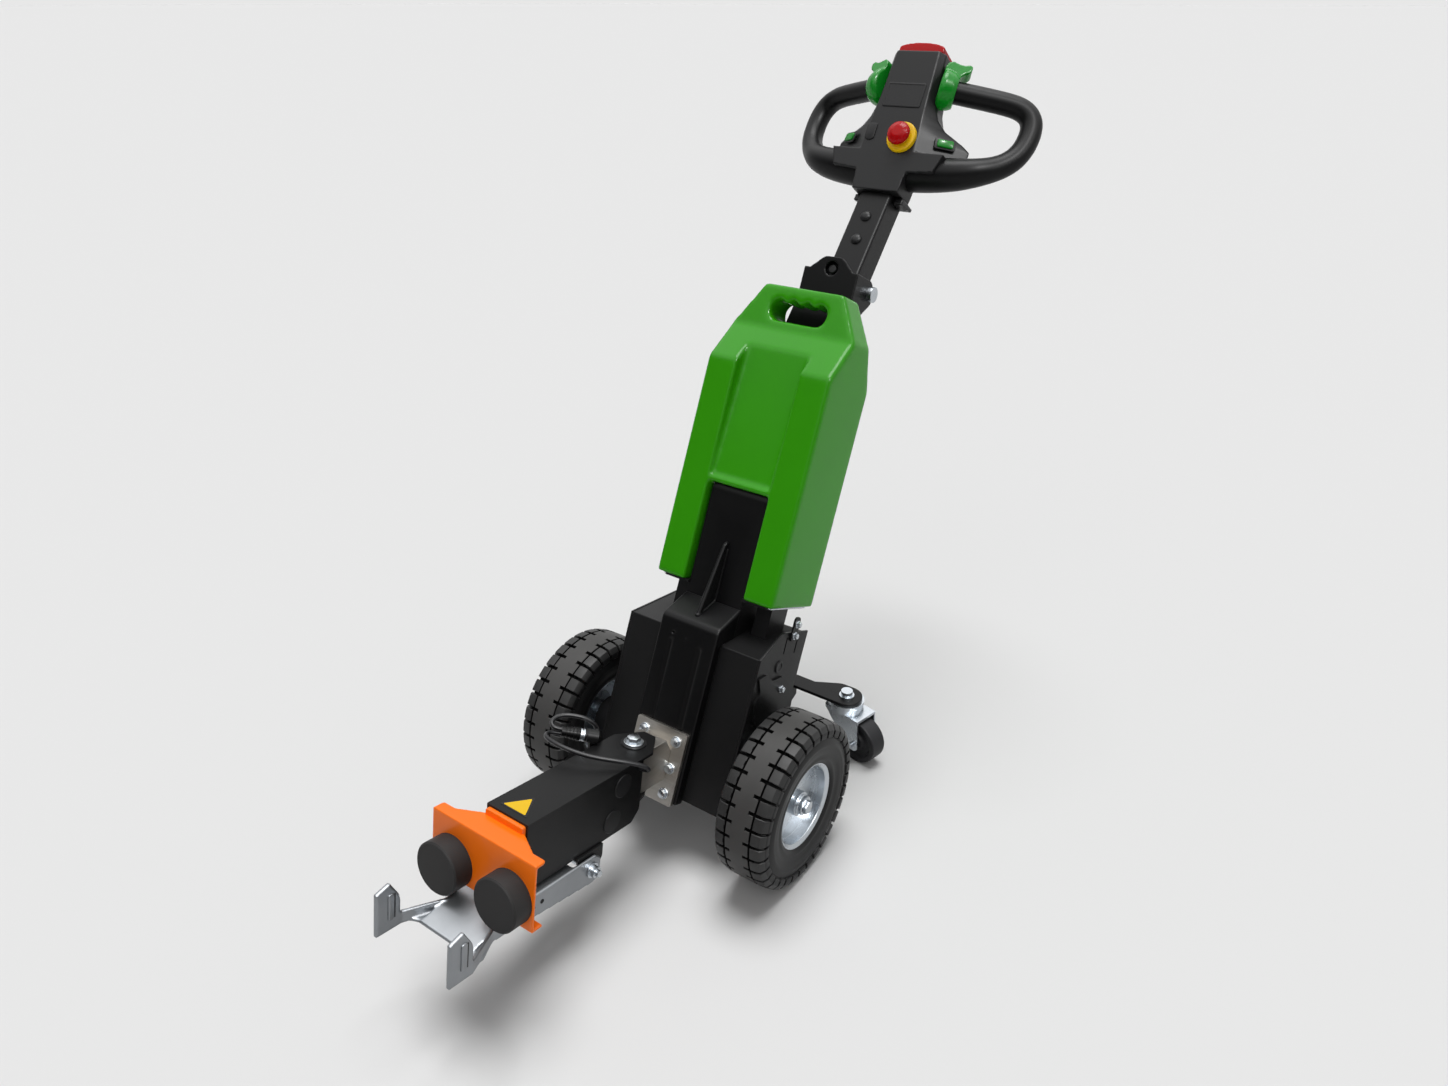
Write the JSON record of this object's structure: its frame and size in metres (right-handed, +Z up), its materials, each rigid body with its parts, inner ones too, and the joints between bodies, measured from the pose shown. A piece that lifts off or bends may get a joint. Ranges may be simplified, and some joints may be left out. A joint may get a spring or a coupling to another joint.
{
  "type": "electric tow tug",
  "caption": "Walk-behind electric tow tug with a leaning mast and battery, a steered tiller head, a swinging boom and a lifting hook.",
  "frame": {"origin": "on the floor, under the middle of the machine's footprint", "axes": "+X to the machine's right, +Y to the rear, where the operator walks, +Z up"},
  "size_m": [0.462, 1.2362, 1.1187],
  "materials": {
    "black_steel": "powder coat, fine texture",
    "orange_steel": "powder coat, satin",
    "green_shell": "moulded, satin grain",
    "black_plastic": "moulded, fine grain",
    "green_plastic": "moulded, semi-gloss",
    "red_plastic": "moulded, semi-gloss",
    "yellow_plastic": "moulded, semi-gloss",
    "zinc_steel": "zinc plated, satin",
    "stainless": "brushed stainless",
    "cast_grey": "silver-grey paint",
    "buffer_rubber": "moulded rubber",
    "tyre_rubber": "treaded tyre rubber",
    "grip_rubber": "smooth soft grip",
    "lead_jacket": "smooth cable jacket",
    "caster_tread": "grey caster rubber"
  },
  "bodies": {
    "chassis": {"chassis_housing": "black_steel", "side_plate_left": "black_steel", "side_plate_right": "black_steel", "latch_strap": "black_steel", "brake_plate": "black_steel", "spine": "black_steel", "mast": "black_steel", "mount_plate": "stainless", "pivot_knuckle": "stainless", "drive_unit_left": "cast_grey", "drive_unit_right": "cast_grey", "caster_beam": "black_steel", "caster_race_left": "zinc_steel", "caster_race_right": "zinc_steel", "battery_cassette": "green_shell", "battery_seat": "black_plastic", "top_bracket": "black_steel", "bracket_plunger": "zinc_steel", "tilt_bolt": "zinc_steel"},
    "drive_wheel_left": {"tyre_left": "tyre_rubber", "rim_left": "zinc_steel"},
    "drive_wheel_right": {"tyre_right": "tyre_rubber", "rim_right": "zinc_steel"},
    "caster_swivel_left": {"caster_fork_left": "zinc_steel"},
    "caster_swivel_right": {"caster_fork_right": "zinc_steel"},
    "caster_roll_left": {"caster_wheel_left": "caster_tread"},
    "caster_roll_right": {"caster_wheel_right": "caster_tread"},
    "boom": {"boom_housing": "black_steel", "pivot_bolt": "zinc_steel", "bumper_plate": "orange_steel", "buffer_left": "buffer_rubber", "buffer_right": "buffer_rubber", "lever_ears": "black_steel", "hook_bolt": "zinc_steel", "lead_plug": "black_plastic", "lead_boot": "grip_rubber", "lead_front": "lead_jacket", "lead_rear": "lead_jacket"},
    "hook": {"hook_lever": "zinc_steel"},
    "tiller": {"column": "black_steel", "head_housing": "black_plastic", "handle_left": "grip_rubber", "handle_right": "grip_rubber", "thumb_lever_left": "green_plastic", "thumb_lever_right": "green_plastic", "safety_switch": "red_plastic", "stop_base": "yellow_plastic", "stop_button": "red_plastic", "head_clamp": "black_plastic"}
  },
  "joints": [
    {"name": "drive_wheel_left_spin", "type": "hinge", "parent": "chassis", "child": "drive_wheel_left", "pos_m": [-0.1885, -0.08017, 0.13], "axis": [1, 0, 0], "continuous": true},
    {"name": "drive_wheel_right_spin", "type": "hinge", "parent": "chassis", "child": "drive_wheel_right", "pos_m": [0.1885, -0.08017, 0.13], "axis": [1, 0, 0], "continuous": true},
    {"name": "caster_left_swivel", "type": "hinge", "parent": "chassis", "child": "caster_swivel_left", "pos_m": [-0.126, 0.21883, 0.098], "axis": [0, 0, 1], "continuous": true},
    {"name": "caster_right_swivel", "type": "hinge", "parent": "chassis", "child": "caster_swivel_right", "pos_m": [0.126, 0.21883, 0.098], "axis": [0, 0, 1], "continuous": true},
    {"name": "caster_left_roll", "type": "hinge", "parent": "caster_swivel_left", "child": "caster_roll_left", "pos_m": [-0.16317, 0.21093, 0.04], "axis": [-0.2079, 0.9781, 0], "continuous": true},
    {"name": "caster_right_roll", "type": "hinge", "parent": "caster_swivel_right", "child": "caster_roll_right", "pos_m": [0.16317, 0.21093, 0.04], "axis": [0.2079, 0.9781, 0], "continuous": true},
    {"name": "boom_swing", "type": "hinge", "parent": "chassis", "child": "boom", "pos_m": [0, -0.20667, 0.18249], "axis": [0, 0.1908, 0.9816], "range_deg": [-40, 40]},
    {"name": "hook_lift", "type": "hinge", "parent": "boom", "child": "hook", "pos_m": [0, -0.34911, 0.12053], "axis": [1, 0, 0], "range_deg": [0, 14]},
    {"name": "tiller_tilt", "type": "hinge", "parent": "chassis", "child": "tiller", "pos_m": [0, 0.35574, 0.76842], "axis": [1, 0, 0], "range_deg": [-15, 25]}
  ]
}
